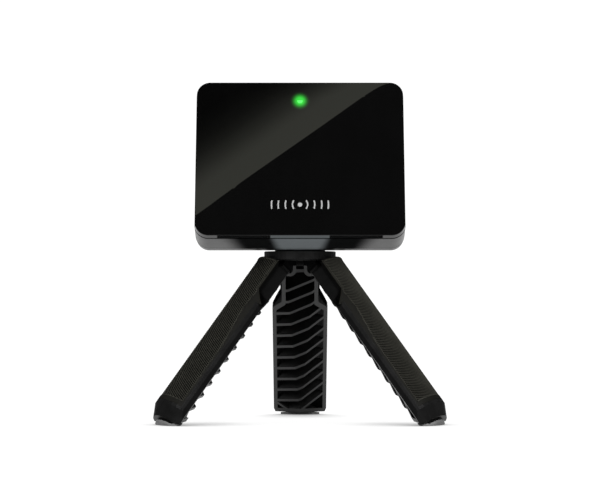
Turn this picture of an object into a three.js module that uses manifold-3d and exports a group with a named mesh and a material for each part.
// A pocket launch monitor on a small folding tripod.
// Millimetres, +Z up. The unit faces -Y and the feet stand on Z = 0.
import * as THREE from 'three';
import { mergeVertices } from 'three/addons/utils/BufferGeometryUtils.js';
import Module from 'manifold-3d';

const wasm = await Module();
wasm.setup();

// ---- Driving dimensions -------------------------------------------------

const FIT = 0.3; // gap that neighbouring pieces keep
const RUNNING_FIT = 0.06; // radial clearance of a turning pin
const TOUCH = 0.05; // gap between pieces that rest on each other
const PAST = 1; // how far a cut runs past the face it opens
const CENTRING_SHIFT_Y = -13.4; // puts the middle of the whole object's box over the origin

// Tripod. Each leg is one 120 degree sector of a round handle when folded.
const HANDLE_RADIUS = 15.4;
const LEG_SPREAD = THREE.MathUtils.degToRad(39);
const PIVOT_RADIUS = 5;
const PIVOT_HEIGHT = 70.47;
const LEG_LENGTH = 91.5; // pivot to the square end of the shell
const LEG_AZIMUTHS = { rear: 90, left: 210, right: 330 };

const HUB_BOTTOM = 69;
const HUB_TOP = 73;
const HUB_CHAMFER = { top: 0.2, bottom: 0.5 };
const HUB_BOSS_RADIUS = 10.8;
const HUB_BOSS_TOP = 74.5;
const HUB_GROOVE = { inner: 11, outer: 13.6, top: 71.4 };
const TONGUE = { inner: 2.4, outer: 7.2, bottom: 66.8 };
const PAN_SCREW = { radius: 1.2, head: 1.7, headBottom: 69.3, headTop: 70.8, socketDepth: 0.8 };
const PAN_BORE = { radius: 1.3, headClearance: 0.2 };
const HUB_SLOT = { inner: 2.5, outer: 10 };

// Leg cross-section, with n measured outward from the handle's axis.
const GRIP_INNER_RADIUS = HANDLE_RADIUS - 1.2;
const SHELL_RADIUS = GRIP_INNER_RADIUS - FIT;
const POCKET_RADIUS = SHELL_RADIUS - 1.5;
const LEG_HALF_WIDTH = 12.2;
const NECK_HALF_WIDTH = 8;
const WALL = 1.7;
const NECK_TOP = 8.1; // distances down the leg from the pivot
const NECK_END = 24.5;
const SHOULDER_END = 29.7;
const GRIP_HALF_WIDTH = 10.6;
const GRIP_END = 84.5;
const FOOT_CHAMFER = { start: 86, radius: 12.7 };
const END_CORNER = 2.2;
const END_PLATE = 1.6;
const FRAME_GROUND_CLEARANCE = 1.3;
const STEM = { length: 0.7, inner: 6, outer: 10.2, halfWidth: 8.2 }; // holds the foot pad off the leg's end
const PAD = { gap: 0.1, inner: 3.6, outer: 10.9, halfWidth: 8.8 };

// Inner ribs, slanted across the leg.
const RIB = { count: 12, first: 14.4, pitch: 6.36, thickness: 1.2, slope: 0.51 };
const RIB_RECESS = { atTop: 2.9, perMillimetre: 0.044, from: 30 };
const RIB_PLATE = { width: 36, depth: 24, middle: 8 };
const GUSSET = { length: 9, angle: 21, x: -8, n: 12, aboveEnd: 5.9 };

const EAR = { inner: 1.7, outer: 3, radius: 2.2, shelfTop: 7.3, shelfBottom: 8.7 };
const PIN_RADIUS = 0.9;
const PIN_HALF_LENGTH = 5.2;

// Unit, in its own frame: x across, d back from the front face, s up along the face.
const UNIT_LEAN = THREE.MathUtils.degToRad(20);
const UNIT_FRONT_EDGE = { y: -28.5, z: 79 };
const UNIT_WIDTH = 88.9;
const UNIT_HEIGHT = 71.1;
const UNIT_CORNER = 6;
const COVER_DEPTH = 2.8;
const SEAM_DEPTH = 3.5;
const HOUSING_DEPTH = 14.3;
const RIM_DEPTH = 17.9;
const RIM_INSET = 0.35;
const UNIT_DEPTH = 25.4;
const UNIT_WALL = 1.8;
const HUMP = { halfWidth: 34, bottom: 13.5, top: 64, corner: 7 };
const LED_BELOW_TOP = 8.9;
const COVER = { edge: 0.5, wall: 1.7, thickness: 1.6, lightHole: 1.3 };
const LIGHT_PIPE = { radius: 1.2, flange: 1.9, front: 0.1, flangeFront: 2, back: 3.4 };
const LED = { halfWidth: 1.2, front: 3.5, back: 4.25 };
const GASKET = { outer: 0.7, inner: 2.6 };
const PARTITION = { outer: 1, inner: 14, front: 7.4, back: 8.6 };
const HUMP_EDGE = 1.6;

// Tilt hinge between the pan head and the unit.
const TILT_DEPTH = 23;
const TILT_RISE = 9.4;
const KNUCKLE_RADIUS = 2.7;
const KNUCKLE_HALF_WIDTH = 3.6;
const TILT_SCREW_RADIUS = 1.25;
const FORK = { inner: 4.2, outer: 6.8 };
const PAN_DISC = { radius: 7.5, bottom: 75.1, top: 76.9 };
const PAN_WASHER = { outer: 7, inner: 1.4 };
const TILT_SCREW = { head: 2.2, headLength: 1.3, socket: 1, socketDepth: 0.75, tail: 1.7 };
const TILT_NUT = { radius: 2.3, thickness: 1.55 };
const TILT_WASHER_RADIUS = 2.5;
const MOUNT_PLATE = { halfWidth: 14.5, bottom: 4.4, top: 12.8, corner: 2, thickness: 1.6 };
const MOUNT_WEB = { below: 2, above: 2.6 };

// What the unit carries, in its own frame.
const PORT = { d: 9.2, s: 24, halfDepth: 2.6, halfHeight: 5.4 };
const PORT_REACH = -30; // how far in the connector's opening is kept clear
const PORT_FLAP = { halfDepth: 4, halfHeight: 8.4, recess: 0.9, skin: 0.75, plug: 2.2, gap: 0.2 };
const USB = { inner: -33, outer: -40.2, halfHeight: 4.4, front: 6.9, back: 9.85, closed: 1 };
const USB_WALL = { d: 0.5, s: 0.6 };
const BUTTON = { x: 20, s: 56, radius: 3.3, length: 2.7, proud: 0.2, well: 20 };
const BUTTON_FLANGE = { radius: 4.1, front: 3.3, back: 2.1 }; // depths below the back face
const ANTENNA_BOARD = { inset: 6, front: 4.3, back: 5.5 };
const MAIN_BOARD = { inset: 4.2, front: 10.05, back: 11.25 };
const BATTERY = { halfWidth: 23, bottom: 20, top: 47, corner: 2, front: 18.3, back: 23.4 };
const STRAP = { halfWidth: 30, bottom: 34.8, top: 42.8, front: 17.2, back: 18.2, threadEnd: 23 };
const STRAP_FOOT = { halfWidth: 3, back: 19.9 };
const SHIELD = { halfWidth: 16, bottom: 26, top: 52, back: 13.4, wall: 0.3 };

// Screws: heads and tips are depths in the unit's frame. Holes are a loose fit or cut by the thread.
const CASE_SCREW = { radius: 0.95, head: 1.9, headFront: 16.5, headBack: 17.7, tip: 9 };
const CASE_HOLE = { radius: 1.05, end: 8.8 };
const BOARD_SCREW = { radius: 0.7, head: 1.5, headFront: 11.35, headBack: 12.35, tip: 7 };
const BOARD_HOLE = { clear: 0.95, thread: 0.8 };
const PLATE_SCREW = { radius: 0.8, head: 1.6, headFront: 19.65, headBack: 20.65, tip: 16.3 };
const PLATE_HOLE = { clear: 0.95, thread: 0.85 };
const POST = { caseFront: 2.6, caseBack: 3, board: 2, strap: 2, relief: 3.4 }; // radii of the screws' posts
const SCREW_SOCKET_DEPTH = 0.6;
const COUNTERBORE = { radius: 2.1, depth: 1.5 };

const SKIN = 0.02; // thickness of the end slices that a bevelled solid is stretched between
const MERGE_DISTANCE = 1e-4;
const ROUND = 32; // facets of a large circle
const SMALL_ROUND = 12; // facets of a screw or pin
const SOCKET = 6; // facets of a driver socket

// ---- Materials ----------------------------------------------------------

function finish(color, roughness, metalness = 0) {
  return new THREE.MeshStandardMaterial({ color, roughness, metalness });
}

const finishes = {
  glossBlack: finish(0x0b0b0c, 0.08),
  satinBlack: finish(0x17181a, 0.3),
  legPlastic: finish(0x1b1b1b, 0.55),
  gripRubber: finish(0x24241f, 0.75),
  padRubber: finish(0x6d6d6b, 0.8),
  sealRubber: finish(0x101010, 0.9),
  steel: finish(0x3c3d40, 0.4, 1),
  board: finish(0x1d4a2c, 0.5),
  shield: finish(0xb9bcbf, 0.3, 1),
  chip: finish(0x1a1a1c, 0.4),
  cell: finish(0x9da2a8, 0.45, 0.2),
  lens: finish(0xc9f7cf, 0.2),
  led: finish(0x5fe070, 0.3),
};

// ---- Outlines and solids ------------------------------------------------

// The points that round one corner of an outline with an arc.
function roundedCorner(before, corner, after, steps) {
  const [x, y, radius] = corner;
  const point = new THREE.Vector2(x, y);
  if (!radius) return [point];
  const back = new THREE.Vector2(before[0], before[1]).sub(point).normalize();
  const ahead = new THREE.Vector2(after[0], after[1]).sub(point).normalize();
  const half = Math.acos(back.dot(ahead)) / 2;
  const centre = back.clone().add(ahead).normalize().multiplyScalar(radius / Math.sin(half)).add(point);
  const spoke = back.clone().multiplyScalar(radius / Math.tan(half)).add(point).sub(centre);
  const turn = Math.sign(ahead.cross(back)) * (Math.PI - 2 * half);
  const points = [];
  for (let step = 0; step <= steps; step += 1) {
    const arm = spoke.clone().rotateAround(new THREE.Vector2(), (turn * step) / steps);
    points.push(arm.add(centre));
  }
  return points;
}

// Corners are [a, b] or [a, b, radius].
function outline(corners, steps = 5) {
  const count = corners.length;
  return corners.flatMap((corner, index) => {
    const before = corners[(index + count - 1) % count];
    const after = corners[(index + 1) % count];
    return roundedCorner(before, corner, after, steps);
  });
}

// The other half of an outline that is the same on both sides of x = 0.
function mirroredAcross(corners) {
  return corners.map(([x, ...rest]) => [-x, ...rest]).reverse();
}

function roundedRectangle(x0, x1, y0, y1, radius, steps = 5) {
  return outline([[x0, y0, radius], [x1, y0, radius], [x1, y1, radius], [x0, y1, radius]], steps);
}

function solidOf(geometry) {
  geometry.deleteAttribute('normal');
  geometry.deleteAttribute('uv');
  const merged = mergeVertices(geometry, MERGE_DISTANCE);
  const vertProperties = Float32Array.from(merged.attributes.position.array);
  const triVerts = Uint32Array.from(merged.index.array);
  return new wasm.Manifold(new wasm.Mesh({ numProp: 3, vertProperties, triVerts }));
}

function geometryOf(solid) {
  const { vertProperties, triVerts } = solid.getMesh();
  const geometry = new THREE.BufferGeometry();
  geometry.setAttribute('position', new THREE.BufferAttribute(vertProperties, 3));
  geometry.setIndex(new THREE.BufferAttribute(triVerts, 1));
  geometry.computeVertexNormals();
  return geometry;
}

function prism(points, depth) {
  return new THREE.ExtrudeGeometry(new THREE.Shape(points), { depth, bevelEnabled: false });
}

const axisX = new THREE.Vector3(1, 0, 0);
const axisY = new THREE.Vector3(0, 1, 0);
const axisZ = new THREE.Vector3(0, 0, 1);
const ACROSS_X = new THREE.Matrix4().makeBasis(axisY, axisZ, axisX);
const ACROSS_Y = new THREE.Matrix4().makeBasis(axisX, axisZ, axisY.clone().negate());

// Outline points are (y, z).
function alongX(points, x0, x1) {
  return solidOf(prism(points, x1 - x0).applyMatrix4(ACROSS_X).translate(x0, 0, 0));
}

// Outline points are (x, z).
function alongY(points, y0, y1) {
  return solidOf(prism(points, y1 - y0).applyMatrix4(ACROSS_Y).translate(0, y1, 0));
}

// Outline points are (x, y).
function alongZ(points, z0, z1) {
  return solidOf(prism(points, z1 - z0).translate(0, 0, z0));
}

function block(x0, x1, y0, y1, z0, z1) {
  const geometry = new THREE.BoxGeometry(x1 - x0, y1 - y0, z1 - z0);
  return solidOf(geometry.translate((x0 + x1) / 2, (y0 + y1) / 2, (z0 + z1) / 2));
}

function rodX(radius, x0, x1, y, z, facets = SMALL_ROUND) {
  const geometry = new THREE.CylinderGeometry(radius, radius, x1 - x0, facets);
  return solidOf(geometry.rotateZ(Math.PI / 2).translate((x0 + x1) / 2, y, z));
}

function rodY(radius, x, y0, y1, z, facets = SMALL_ROUND) {
  const geometry = new THREE.CylinderGeometry(radius, radius, y1 - y0, facets);
  return solidOf(geometry.translate(x, (y0 + y1) / 2, z));
}

function rodZ(radius, x, y, z0, z1, facets = ROUND) {
  const geometry = new THREE.CylinderGeometry(radius, radius, z1 - z0, facets);
  return solidOf(geometry.rotateX(Math.PI / 2).translate(x, y, (z0 + z1) / 2));
}

// Profile points are (radius, z).
function lathed(profile, facets) {
  const points = profile.map(([radius, z]) => new THREE.Vector2(radius, z));
  return solidOf(new THREE.LatheGeometry(points, facets).rotateX(Math.PI / 2));
}

function joined(solids) {
  return solids.reduce((whole, solid) => whole.add(solid));
}

function piece(name, solid, material) {
  const mesh = new THREE.Mesh(geometryOf(solid), material);
  mesh.name = name;
  return mesh;
}

// ---- Legs ---------------------------------------------------------------
// A leg is drawn folded: x across it, y outward from the handle's axis (n),
// z up towards the pivot, whose height is 0.

// How far down the leg the level plane at the given height cuts it, once spread.
function levelPlaneAt(n, height) {
  const drop = PIVOT_HEIGHT - height + (n - PIVOT_RADIUS) * Math.sin(LEG_SPREAD);
  return drop / Math.cos(LEG_SPREAD);
}

// Everything of a leg below the level plane at the given height.
function underLevelPlane(height) {
  const reach = 20;
  const depth = LEG_LENGTH + 30;
  const corners = [
    [-reach, -levelPlaneAt(-reach, height)],
    [reach, -levelPlaneAt(reach, height)],
    [reach, -depth],
    [-reach, -depth],
  ];
  return alongX(outline(corners), -reach, reach);
}

// One third of the handle, less a hair of clearance to the other two legs.
function handleSector() {
  const clearance = 0.35;
  const halfWidth = 12.8;
  const edge = halfWidth / Math.sqrt(3) + clearance;
  const limit = Math.asin(halfWidth / HANDLE_RADIUS);
  const points = [new THREE.Vector2(0, clearance), new THREE.Vector2(halfWidth, edge)];
  const steps = 12;
  for (let step = 0; step <= steps; step += 1) {
    const angle = limit - (2 * limit * step) / steps;
    points.push(new THREE.Vector2(HANDLE_RADIUS * Math.sin(angle), HANDLE_RADIUS * Math.cos(angle)));
  }
  points.push(new THREE.Vector2(-halfWidth, edge));
  return alongZ(points, -LEG_LENGTH, 0);
}

// The leg's front outline, drawn in by an inset on every side but the far end.
function legOutline(inset, end) {
  const neck = NECK_HALF_WIDTH - inset;
  const half = LEG_HALF_WIDTH - inset;
  const taper = 0.25;
  const right = [
    [half - taper, -end, END_CORNER - inset],
    [half, -SHOULDER_END - inset / 2, 1.5],
    [neck, -NECK_END - inset / 2, 1.5],
    [neck, -NECK_TOP - inset, 1.6],
  ];
  return alongY(outline([...mirroredAcross(right), ...right], 4), -3, HANDLE_RADIUS + 2);
}

// Round body of the foot, narrowing towards the ground.
function footCone() {
  const clear = HANDLE_RADIUS + 0.05;
  const profile = [
    [0, -LEG_LENGTH],
    [FOOT_CHAMFER.radius, -LEG_LENGTH],
    [clear, -FOOT_CHAMFER.start],
    [clear, 0],
    [0, 0],
  ];
  return lathed(profile, 2 * ROUND);
}

function ribPlates() {
  const angle = Math.atan(RIB.slope);
  const plates = [];
  for (let index = 0; index < RIB.count; index += 1) {
    const geometry = new THREE.BoxGeometry(RIB_PLATE.width, RIB_PLATE.depth, RIB.thickness);
    geometry.rotateY(-angle);
    geometry.translate(0, RIB_PLATE.middle, -RIB.first - RIB.pitch * index);
    plates.push(solidOf(geometry));
  }
  return joined(plates);
}

// The ribs stop short of the handle's axis on a plane that nears it towards the foot.
function ribRoom() {
  const recessAt = (w) => RIB_RECESS.atTop - RIB_RECESS.perMillimetre * (w - RIB_RECESS.from);
  const end = LEG_LENGTH + 5;
  const corners = [
    [recessAt(0), 0],
    [SHELL_RADIUS, 0],
    [SHELL_RADIUS, -end],
    [recessAt(end), -end],
  ];
  return alongX(outline(corners), -20, 20);
}

function gripRecess() {
  const middle = block(-GRIP_HALF_WIDTH - FIT, GRIP_HALF_WIDTH + FIT, 0, 20, -GRIP_END - FIT, 1);
  const neck = block(-20, 20, -5, 20, -SHOULDER_END + 0.5, 1);
  return middle.add(neck).subtract(rodZ(SHELL_RADIUS, 0, 0, -LEG_LENGTH, 2));
}

// Each ear turns outward at its foot and runs into the neck's wall.
function legEars() {
  const middle = PIVOT_RADIUS;
  const { inner, outer, radius, shelfTop, shelfBottom } = EAR;
  const reach = NECK_HALF_WIDTH - WALL / 2;
  const face = [
    [inner, 4],
    [outer, 4],
    [outer, -shelfTop, 2.4],
    [reach, -shelfTop],
    [reach, -shelfBottom],
    [inner, -shelfBottom, 3],
  ];
  const side = [
    [middle - radius, radius, radius - 0.01],
    [middle + radius, radius, radius - 0.01],
    [middle + radius, -shelfTop + 2],
    [middle + radius + 1.2, -shelfTop],
    [middle + radius + 1.2, -shelfBottom],
    [middle - radius, -shelfBottom],
  ];
  const ear = alongY(outline(face, 5), 0, 12)
    .intersect(alongX(outline(side, 6), -8, 8))
    .intersect(handleSector().translate([0, 0, 5]));
  return ear.add(ear.mirror([1, 0, 0]));
}

// Diagonal gusset in the lower left corner, between the wall and the end plate.
function footGusset() {
  const { length, angle, x, n, aboveEnd } = GUSSET;
  const geometry = new THREE.BoxGeometry(length, RIB_PLATE.depth, RIB.thickness);
  geometry.rotateY(THREE.MathUtils.degToRad(angle));
  return solidOf(geometry.translate(x, n, aboveEnd - LEG_LENGTH));
}

// Room behind the ears, open at the top of the neck.
function neckMouth() {
  const half = NECK_HALF_WIDTH - WALL;
  const behindEars = PIVOT_RADIUS + EAR.radius;
  const roof = -NECK_TOP - WALL;
  const behindAxis = -3;
  const low = block(-half, half, behindAxis, 2, 4 - LEG_LENGTH, roof);
  return low.add(block(-half, half, behindAxis, behindEars, roof - PAST, PAST));
}

// Short foot under the end plate that the pad is bonded to.
function padStem() {
  const { length, inner, outer, halfWidth } = STEM;
  const round = rodZ(outer, 0, 0, -LEG_LENGTH - length, -LEG_LENGTH + END_PLATE / 2);
  return block(-halfWidth, halfWidth, inner, outer + 1, -LEG_LENGTH - 2, -LEG_LENGTH + 2).intersect(round);
}

function legFrame() {
  const body = handleSector()
    .intersect(legOutline(0, LEG_LENGTH))
    .intersect(footCone())
    .subtract(gripRecess())
    .add(padStem())
    .subtract(underLevelPlane(FRAME_GROUND_CLEARANCE));
  const pocket = legOutline(WALL, LEG_LENGTH - END_PLATE)
    .intersect(rodZ(POCKET_RADIUS, 0, 0, -LEG_LENGTH, 0))
    .add(neckMouth())
    .subtract(underLevelPlane(FRAME_GROUND_CLEARANCE + END_PLATE));
  const rooted = WALL / 2;
  const ribs = ribPlates()
    .add(footGusset())
    .intersect(ribRoom())
    .intersect(handleSector())
    .intersect(legOutline(rooted, LEG_LENGTH - rooted))
    .intersect(rodZ(SHELL_RADIUS - rooted, 0, 0, -LEG_LENGTH, 0))
    .subtract(underLevelPlane(FRAME_GROUND_CLEARANCE + rooted));
  return body
    .subtract(pocket)
    .add(ribs)
    .add(legEars())
    .subtract(rodX(PIN_RADIUS + RUNNING_FIT, -8, 8, PIVOT_RADIUS, 0));
}

function legGrip() {
  const neck = NECK_HALF_WIDTH + 0.7;
  const wide = LEG_HALF_WIDTH - 0.1;
  const half = GRIP_HALF_WIDTH;
  const side = [
    [neck, -NECK_TOP, 1.4],
    [neck, -NECK_END + 1.5],
    [wide, -SHOULDER_END + 1.2],
    [wide, -SHOULDER_END + 0.8],
    [half, -SHOULDER_END + 0.8],
    [half, -GRIP_END, 1],
  ];
  return alongY(outline([...side, ...mirroredAcross(side)], 4), 0, HANDLE_RADIUS + 2)
    .intersect(handleSector())
    .subtract(rodZ(GRIP_INNER_RADIUS, 0, 0, -LEG_LENGTH, 1));
}

// Soft wedge between the leg's end and the ground. Its sole is level once the leg is spread.
function footPad() {
  const seat = FRAME_GROUND_CLEARANCE - FIT;
  const top = LEG_LENGTH + STEM.length + PAD.gap;
  const bend = PIVOT_RADIUS + (top * Math.cos(LEG_SPREAD) - PIVOT_HEIGHT + seat) / Math.sin(LEG_SPREAD);
  const outer = PAD.outer + 1;
  const profile = [
    [PAD.inner, -levelPlaneAt(PAD.inner, 0)],
    [outer, -levelPlaneAt(outer, 0)],
    [outer, -top],
    [bend, -top],
    [PAD.inner, -levelPlaneAt(PAD.inner, seat)],
  ];
  const round = [
    [0, -top - 8],
    [4.4, -top - 4.2],
    [8.9, -top - 1.9],
    [PAD.outer - 0.3, -top - 0.8],
    [PAD.outer, -top],
    [PAD.outer, 10 - top],
    [0, 10 - top],
  ];
  return alongX(outline(profile), -PAD.halfWidth, PAD.halfWidth)
    .intersect(handleSector().translate([0, 0, -10]))
    .intersect(lathed(round, ROUND));
}

function leg(side) {
  const group = new THREE.Group();
  const drawing = new THREE.Group();
  drawing.add(piece(`leg_frame_${side}`, legFrame(), finishes.legPlastic));
  drawing.add(piece(`leg_grip_${side}`, legGrip(), finishes.gripRubber));
  drawing.add(piece(`foot_pad_${side}`, footPad(), finishes.padRubber));
  drawing.position.y = -PIVOT_RADIUS;
  group.add(drawing);
  group.position.set(0, PIVOT_RADIUS, PIVOT_HEIGHT);
  group.rotation.x = LEG_SPREAD;
  return group;
}

function hingePin(side) {
  const pin = rodX(PIN_RADIUS, -PIN_HALF_LENGTH, PIN_HALF_LENGTH, PIVOT_RADIUS, PIVOT_HEIGHT);
  return piece(`hinge_pin_${side}`, pin, finishes.steel);
}

// ---- Hub ----------------------------------------------------------------

// The slot that one leg's ears fold in, and the tongue left standing between them.
function hubSlot() {
  const halfWidth = EAR.outer + FIT + 0.1;
  const top = PIVOT_HEIGHT + EAR.radius + FIT;
  const reach = PIN_HALF_LENGTH + 0.1;
  const slot = block(-halfWidth, halfWidth, HUB_SLOT.inner, HUB_SLOT.outer, HUB_BOTTOM - PAST, top);
  return slot.add(rodX(PIN_RADIUS + TOUCH, -reach, reach, PIVOT_RADIUS, PIVOT_HEIGHT));
}

function hubTongue() {
  const halfWidth = EAR.inner - FIT;
  const { inner, outer, bottom } = TONGUE;
  const profile = [
    [inner, bottom, 1],
    [outer, bottom, 2],
    [outer, HUB_TOP],
    [inner, HUB_TOP],
  ];
  const tongue = alongX(outline(profile), -halfWidth, halfWidth);
  return tongue.subtract(rodX(PIN_RADIUS + TOUCH, -3, 3, PIVOT_RADIUS, PIVOT_HEIGHT));
}

function turned(solid, azimuth) {
  return solid.rotate([0, 0, azimuth - LEG_AZIMUTHS.rear]);
}

// Hole for the pan screw, with a deeper seat for its head below.
function panScrewBore() {
  const { head, headTop } = PAN_SCREW;
  const bore = rodZ(PAN_BORE.radius, 0, 0, HUB_BOTTOM - PAST, HUB_BOSS_TOP + PAST, SMALL_ROUND);
  const seat = rodZ(head + PAN_BORE.headClearance, 0, 0, HUB_BOTTOM - PAST, headTop + 2 * TOUCH, ROUND);
  return bore.add(seat);
}

function hub() {
  const azimuths = Object.values(LEG_AZIMUTHS);
  const { top, bottom } = HUB_CHAMFER;
  const profile = [
    [0, HUB_BOTTOM],
    [HANDLE_RADIUS - bottom, HUB_BOTTOM],
    [HANDLE_RADIUS, HUB_BOTTOM + bottom],
    [HANDLE_RADIUS, HUB_TOP - top],
    [HANDLE_RADIUS - top, HUB_TOP],
    [HUB_BOSS_RADIUS, HUB_TOP],
    [HUB_BOSS_RADIUS, HUB_BOSS_TOP],
    [0, HUB_BOSS_TOP],
  ];
  const groove = rodZ(HUB_GROOVE.outer, 0, 0, HUB_BOTTOM - PAST, HUB_GROOVE.top)
    .subtract(rodZ(HUB_GROOVE.inner, 0, 0, HUB_BOTTOM - 2 * PAST, HUB_GROOVE.top + PAST));
  const slots = joined(azimuths.map((azimuth) => turned(hubSlot(), azimuth)));
  const tongues = joined(azimuths.map((azimuth) => turned(hubTongue(), azimuth)));
  return lathed(profile, 48)
    .subtract(groove)
    .subtract(slots)
    .add(tongues)
    .subtract(panScrewBore());
}

function tripod() {
  const group = new THREE.Group();
  group.add(piece('tripod_hub', hub(), finishes.legPlastic));
  for (const [side, azimuth] of Object.entries(LEG_AZIMUTHS)) {
    const turn = new THREE.Group();
    turn.rotation.z = THREE.MathUtils.degToRad(azimuth - LEG_AZIMUTHS.rear);
    turn.add(leg(side), hingePin(side));
    group.add(turn);
  }
  return group;
}

// ---- Pan head -----------------------------------------------------------

// World place of a point of the unit's own frame.
function unitPoint(d, s) {
  return {
    y: UNIT_FRONT_EDGE.y + d * Math.cos(UNIT_LEAN) + s * Math.sin(UNIT_LEAN),
    z: UNIT_FRONT_EDGE.z - d * Math.sin(UNIT_LEAN) + s * Math.cos(UNIT_LEAN),
  };
}

const tiltAxis = unitPoint(TILT_DEPTH, TILT_RISE);

// Hole for the tilt screw, wide enough to pass the whole fork.
function tiltBore(clearance, { y, z }) {
  const reach = FORK.outer + 2 * PAST;
  return rodX(TILT_SCREW_RADIUS + clearance, -reach, reach, y, z);
}

function panBody() {
  const disc = rodZ(PAN_DISC.radius, 0, 0, PAN_DISC.bottom, PAN_DISC.top);
  const fork = [
    [tiltAxis.y - KNUCKLE_RADIUS, PAN_DISC.top - 1],
    [tiltAxis.y + KNUCKLE_RADIUS, PAN_DISC.top - 1],
    [tiltAxis.y + KNUCKLE_RADIUS, tiltAxis.z + KNUCKLE_RADIUS, KNUCKLE_RADIUS - 0.01],
    [tiltAxis.y - KNUCKLE_RADIUS, tiltAxis.z + KNUCKLE_RADIUS, KNUCKLE_RADIUS - 0.01],
  ];
  const arm = alongX(outline(fork, 8), FORK.inner, FORK.outer);
  return disc
    .add(arm)
    .add(arm.mirror([1, 0, 0]))
    .intersect(rodZ(PAN_DISC.radius + 1.5, 0, 0, PAN_DISC.bottom, tiltAxis.z + 5))
    .subtract(tiltBore(TOUCH, tiltAxis))
    .subtract(rodZ(PAN_SCREW.radius + TOUCH, 0, 0, PAN_DISC.bottom - PAST, PAN_DISC.top + PAST, SMALL_ROUND));
}

function panScrew() {
  const { radius, head, headBottom, headTop, socketDepth } = PAN_SCREW;
  const overlap = 0.3;
  const top = rodZ(head, 0, 0, headBottom, headTop, SMALL_ROUND);
  const socket = rodZ(head / 2, 0, 0, headBottom - PAST, headBottom + socketDepth, SOCKET);
  const shank = rodZ(radius, 0, 0, headTop - overlap, PAN_DISC.top - 4 * TOUCH, SMALL_ROUND);
  return top.subtract(socket).add(shank);
}

function washer(outer, inner, place) {
  return place(outer).subtract(place(inner));
}

function tiltScrew() {
  const { y, z } = tiltAxis;
  const start = FORK.outer + TOUCH;
  const end = start + TILT_SCREW.headLength;
  const overlap = 0.25;
  const head = rodX(TILT_SCREW.head, start, end, y, z);
  const socket = rodX(TILT_SCREW.socket, end - TILT_SCREW.socketDepth, end + PAST, y, z, SOCKET);
  const shank = rodX(TILT_SCREW_RADIUS, -FORK.outer - TILT_SCREW.tail, start + overlap, y, z);
  return head.subtract(socket).add(shank);
}

function tiltNut() {
  const { y, z } = tiltAxis;
  const end = -FORK.outer - TOUCH;
  const nutOf = (radius, facets) => rodX(radius, end - TILT_NUT.thickness, end, y, z, facets);
  return nutOf(TILT_NUT.radius, 6).subtract(nutOf(TILT_SCREW_RADIUS + TOUCH, SMALL_ROUND));
}

function panHead() {
  const { y, z } = tiltAxis;
  const group = new THREE.Group();
  const seat = (radius) => rodZ(radius, 0, 0, HUB_BOSS_TOP + TOUCH, PAN_DISC.bottom - TOUCH);
  const rightFace = (radius) => rodX(radius, KNUCKLE_HALF_WIDTH + TOUCH, FORK.inner - TOUCH, y, z);
  const leftFace = (radius) => rodX(radius, TOUCH - FORK.inner, -KNUCKLE_HALF_WIDTH - TOUCH, y, z);
  const outer = TILT_WASHER_RADIUS;
  const bore = TILT_SCREW_RADIUS + TOUCH;
  group.add(piece('pan_head', panBody(), finishes.legPlastic));
  group.add(piece('pan_washer', washer(PAN_WASHER.outer, PAN_WASHER.inner, seat), finishes.sealRubber));
  group.add(piece('pan_screw', panScrew(), finishes.steel));
  group.add(piece('tilt_screw', tiltScrew(), finishes.steel));
  group.add(piece('tilt_nut', tiltNut(), finishes.steel));
  group.add(piece('tilt_washer_right', washer(outer, bore, rightFace), finishes.steel));
  group.add(piece('tilt_washer_left', washer(outer, bore, leftFace), finishes.steel));
  return group;
}

// ---- Unit ---------------------------------------------------------------

// The unit's outline, drawn in by an inset, between two depths.
function unitSlab(inset, d0, d1) {
  const half = UNIT_WIDTH / 2 - inset;
  const corner = Math.max(UNIT_CORNER - inset, 1);
  return alongY(roundedRectangle(-half, half, inset, UNIT_HEIGHT - inset, corner), d0, d1);
}

function humpSlab(inset, d0, d1) {
  const { halfWidth, bottom, top, corner } = HUMP;
  const half = halfWidth - inset;
  return alongY(roundedRectangle(-half, half, bottom + inset, top - inset, corner - inset), d0, d1);
}

const ledPlace = [0, UNIT_HEIGHT - LED_BELOW_TOP];
const buttonPlace = [BUTTON.x, BUTTON.s];
const caseScrewPlaces = [[-38.5, 6.5], [38.5, 6.5], [38.5, 64.6], [-38.5, 64.6]];
const boardScrewPlaces = [[-33, 12], [33, 12], [33, 59], [-33, 59]];
const strapScrewPlaces = [[-27, 38.8], [27, 38.8]];
const plateScrewPlaces = [[-11, 8.6], [11, 8.6]];

// A round post or hole that runs front to back at a place on the unit's face.
function boss(radius, [x, s], d0, d1, facets = SMALL_ROUND) {
  return rodY(radius, x, d0, d1, s, facets);
}

function bosses(places, radius, d0, d1) {
  return joined(places.map((place) => boss(radius, place, d0, d1)));
}

function frontCover() {
  const { edge, wall, thickness, lightHole } = COVER;
  const plate = wasm.Manifold.hull([unitSlab(edge, 0, SKIN), unitSlab(0, edge, COVER_DEPTH)]);
  return plate
    .subtract(unitSlab(wall, thickness, COVER_DEPTH + PAST))
    .subtract(boss(lightHole, ledPlace, -PAST, COVER_DEPTH + PAST));
}

function lightPipe() {
  const { radius, flange, front, flangeFront, back } = LIGHT_PIPE;
  return boss(radius, ledPlace, front, back).add(boss(flange, ledPlace, flangeFront, back));
}

function statusLed() {
  const { halfWidth, front, back } = LED;
  const [x, s] = ledPlace;
  return block(x - halfWidth, x + halfWidth, front, back, s - halfWidth, s + halfWidth);
}

function seamGasket() {
  const ring = unitSlab(GASKET.outer, COVER_DEPTH + TOUCH, SEAM_DEPTH);
  return ring.subtract(unitSlab(GASKET.inner, 0, UNIT_DEPTH));
}

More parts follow.
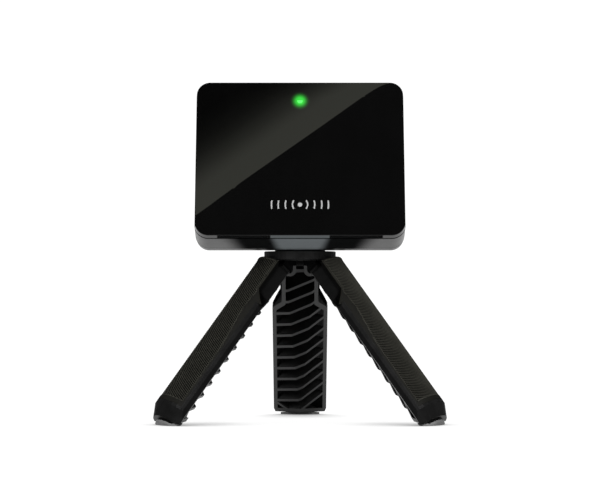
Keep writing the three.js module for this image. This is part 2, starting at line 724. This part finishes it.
// The opening for the connector and the shallow seat that its cover lies in.
function portOpening() {
  const { d, s, halfDepth, halfHeight } = PORT;
  const flap = PORT_FLAP;
  const side = -UNIT_WIDTH / 2;
  const hole = block(-UNIT_WIDTH, PORT_REACH, d - halfDepth, d + halfDepth, s - halfHeight, s + halfHeight);
  return hole.add(block(
    -UNIT_WIDTH,
    side + flap.recess,
    d - flap.halfDepth,
    d + flap.halfDepth,
    s - flap.halfHeight,
    s + flap.halfHeight,
  ));
}

function housing() {
  const { outer, inner, front, back } = PARTITION;
  const overlap = 0.6;
  const partition = unitSlab(outer, front, back).subtract(unitSlab(inner, front - PAST, back + PAST));
  const casePosts = bosses(caseScrewPlaces, POST.caseFront, back - overlap, HOUSING_DEPTH);
  const postStart = ANTENNA_BOARD.back + 2 * TOUCH;
  const boardPosts = bosses(boardScrewPlaces, POST.board, postStart, MAIN_BOARD.front - TOUCH);
  return unitSlab(0, SEAM_DEPTH + TOUCH, HOUSING_DEPTH)
    .subtract(unitSlab(UNIT_WALL, 0, UNIT_DEPTH))
    .add(partition)
    .add(casePosts)
    .add(boardPosts)
    .subtract(bosses(caseScrewPlaces, CASE_HOLE.radius, CASE_HOLE.end, UNIT_DEPTH))
    .subtract(bosses(boardScrewPlaces, BOARD_HOLE.thread, 0, UNIT_DEPTH))
    .subtract(portOpening());
}

// The shell of the back, from the seam to the raised middle.
function rearShell() {
  const start = HOUSING_DEPTH + 2 * TOUCH;
  const rim = [unitSlab(0, start, start + SKIN), unitSlab(RIM_INSET, RIM_DEPTH - SKIN, RIM_DEPTH)];
  const hump = [
    humpSlab(0, RIM_DEPTH - PAST, UNIT_DEPTH - HUMP_EDGE),
    humpSlab(HUMP_EDGE, UNIT_DEPTH - SKIN, UNIT_DEPTH),
  ];
  const outer = wasm.Manifold.hull(rim).add(wasm.Manifold.hull(hump));
  return outer
    .subtract(unitSlab(UNIT_WALL, start - PAST, RIM_DEPTH - UNIT_WALL))
    .subtract(humpSlab(UNIT_WALL, RIM_DEPTH - 3 * PAST, UNIT_DEPTH - UNIT_WALL));
}

function rearCover() {
  const start = HOUSING_DEPTH + 2 * TOUCH;
  const casePosts = bosses(caseScrewPlaces, POST.caseBack, start, RIM_DEPTH - COUNTERBORE.depth / 3);
  const strapPosts = bosses(strapScrewPlaces, POST.strap, STRAP_FOOT.back + 2 * TOUCH, UNIT_DEPTH - PAST);
  return rearShell()
    .add(casePosts)
    .add(strapPosts)
    .subtract(bosses(caseScrewPlaces, CASE_HOLE.radius, 0, UNIT_DEPTH))
    .subtract(bosses(caseScrewPlaces, COUNTERBORE.radius, RIM_DEPTH - COUNTERBORE.depth, UNIT_DEPTH))
    .subtract(bosses(strapScrewPlaces, BOARD_HOLE.thread, start, STRAP.threadEnd))
    .subtract(bosses(plateScrewPlaces, PLATE_HOLE.thread, start, RIM_DEPTH + PAST))
    .subtract(boss(BUTTON.radius + 2 * TOUCH, buttonPlace, BUTTON.well, UNIT_DEPTH + PAST, ROUND));
}

function screw(size, [x, s]) {
  const { radius, head, headFront, headBack, tip } = size;
  const overlap = 0.2;
  const shank = rodY(radius, x, tip, headFront + overlap, s);
  const socket = rodY(head / 2, x, headBack - SCREW_SOCKET_DEPTH, headBack + PAST, s, SOCKET);
  return shank.add(rodY(head, x, headFront, headBack, s)).subtract(socket);
}

function mountPlate() {
  const { halfWidth, bottom, top, corner, thickness } = MOUNT_PLATE;
  const half = KNUCKLE_HALF_WIDTH;
  const front = RIM_DEPTH + 2 * TOUCH;
  const back = front + thickness;
  const plate = alongY(roundedRectangle(-halfWidth, halfWidth, bottom, top, corner, 4), front, back);
  const knuckle = rodX(KNUCKLE_RADIUS, -half, half, TILT_DEPTH, TILT_RISE, ROUND);
  const web = block(-half, half, front, TILT_DEPTH, TILT_RISE - MOUNT_WEB.below, TILT_RISE + MOUNT_WEB.above);
  return plate
    .add(knuckle)
    .add(web)
    .subtract(tiltBore(RUNNING_FIT, { y: TILT_DEPTH, z: TILT_RISE }))
    .subtract(bosses(plateScrewPlaces, PLATE_HOLE.clear, front - PAST, back + PAST));
}

// A flat board with a hole for each screw, and room for each boss it passes.
function circuitBoard({ inset, front, back }, notches) {
  const holes = bosses(boardScrewPlaces, BOARD_HOLE.clear, front - PAST, back + PAST);
  const board = unitSlab(inset, front, back).subtract(holes);
  return notches.length ? board.subtract(bosses(notches, POST.relief, front - PAST, back + PAST)) : board;
}

function usbSocket() {
  const { inner, outer, halfHeight, front, back, closed } = USB;
  const { s } = PORT;
  const shell = block(outer, inner, front, back, s - halfHeight, s + halfHeight);
  const half = halfHeight - USB_WALL.s;
  const wall = USB_WALL.d;
  const mouth = block(outer - PAST, inner - closed, front + wall, back - wall, s - half, s + half);
  return shell.subtract(mouth);
}

function shieldCan() {
  const { halfWidth, bottom, top, back, wall } = SHIELD;
  const front = MAIN_BOARD.back + TOUCH;
  const half = halfWidth - wall;
  const inside = block(-half, half, front - PAST, back - wall, bottom + wall, top - wall);
  return block(-halfWidth, halfWidth, front, back, bottom, top).subtract(inside);
}

function battery() {
  const { halfWidth, bottom, top, corner, front, back } = BATTERY;
  return alongY(roundedRectangle(-halfWidth, halfWidth, bottom, top, corner, 3), front, back);
}

function batteryBracket() {
  const { halfWidth, bottom, top, front, back } = STRAP;
  const foot = STRAP_FOOT.halfWidth;
  const strap = block(-halfWidth, halfWidth, front, back, bottom, top);
  const feet = strapScrewPlaces.map(([x]) => block(x - foot, x + foot, front, STRAP_FOOT.back, bottom, top));
  return strap
    .add(joined(feet))
    .subtract(bosses(strapScrewPlaces, BOARD_HOLE.clear, front - PAST, UNIT_DEPTH));
}

function portCover() {
  const { d, s, halfDepth, halfHeight } = PORT;
  const { skin, plug, gap, ...flap } = PORT_FLAP;
  const side = -UNIT_WIDTH / 2;
  const inDepth = flap.halfDepth - gap;
  const inHeight = flap.halfHeight - gap;
  const plugDepth = halfDepth - FIT;
  const plugHeight = halfHeight - FIT;
  const face = block(side + TOUCH, side + TOUCH + skin, d - inDepth, d + inDepth, s - inHeight, s + inHeight);
  const start = side + skin / 2;
  return face.add(block(start, side + plug, d - plugDepth, d + plugDepth, s - plugHeight, s + plugHeight));
}

function powerButton() {
  const { radius, length, proud } = BUTTON;
  const { radius: flange, front, back } = BUTTON_FLANGE;
  const face = UNIT_DEPTH + proud;
  const cap = boss(radius, buttonPlace, face - length, face, ROUND);
  return cap.add(boss(flange, buttonPlace, UNIT_DEPTH - front, UNIT_DEPTH - back, ROUND));
}

// Plain components on the boards: name, limits of x, depth and s.
const onAntennaBoard = ANTENNA_BOARD.back + TOUCH;
const onMainBoard = MAIN_BOARD.back + TOUCH;
const chips = [
  ['radar_chip', [-7, 7], [onAntennaBoard, 6.6], [34, 48]],
  ['board_connector', [-9, 9], [onAntennaBoard, MAIN_BOARD.front - TOUCH], [19, 23]],
  ['main_chip', [-6, 6], [onMainBoard, 12.5], [33, 45]],
  ['wireless_antenna', [20, 30], [onMainBoard, 12.6], [14, 17]],
  ['tilt_sensor', [-27, -23], [onMainBoard, 12.3], [50, 54]],
  ['power_switch', [BUTTON.x - 3, BUTTON.x + 3], [onMainBoard, 21.6], [BUTTON.s - 3, BUTTON.s + 3]],
];

function unitInternals(group) {
  group.add(piece('antenna_board', circuitBoard(ANTENNA_BOARD, []), finishes.board));
  group.add(piece('main_board', circuitBoard(MAIN_BOARD, caseScrewPlaces), finishes.board));
  for (const [name, x, d, s] of chips) {
    group.add(piece(name, block(...x, ...d, ...s), finishes.chip));
  }
  group.add(piece('shield_can', shieldCan(), finishes.shield));
  group.add(piece('status_led', statusLed(), finishes.led));
  group.add(piece('usb_socket', usbSocket(), finishes.shield));
  group.add(piece('battery', battery(), finishes.cell));
  group.add(piece('battery_bracket', batteryBracket(), finishes.legPlastic));
}

function unitScrews(group) {
  const sets = [
    ['case_screw', CASE_SCREW, caseScrewPlaces],
    ['board_screw', BOARD_SCREW, boardScrewPlaces],
    ['mount_screw', PLATE_SCREW, plateScrewPlaces],
  ];
  for (const [name, size, places] of sets) {
    places.forEach((place, index) => {
      group.add(piece(`${name}_${index + 1}`, screw(size, place), finishes.steel));
    });
  }
}

function unit() {
  const group = new THREE.Group();
  group.position.set(0, UNIT_FRONT_EDGE.y, UNIT_FRONT_EDGE.z);
  group.rotation.x = -UNIT_LEAN;
  group.add(piece('front_cover', frontCover(), finishes.glossBlack));
  group.add(piece('light_pipe', lightPipe(), finishes.lens));
  group.add(piece('seam_gasket', seamGasket(), finishes.sealRubber));
  group.add(piece('housing', housing(), finishes.satinBlack));
  group.add(piece('rear_cover', rearCover(), finishes.satinBlack));
  group.add(piece('mount_plate', mountPlate(), finishes.legPlastic));
  group.add(piece('port_cover', portCover(), finishes.sealRubber));
  group.add(piece('power_button', powerButton(), finishes.sealRubber));
  unitInternals(group);
  unitScrews(group);
  return group;
}

// ---- Assembly -----------------------------------------------------------

const launchMonitor = new THREE.Group();
launchMonitor.add(tripod(), panHead(), unit());
launchMonitor.position.y = CENTRING_SHIFT_Y;

export default launchMonitor;
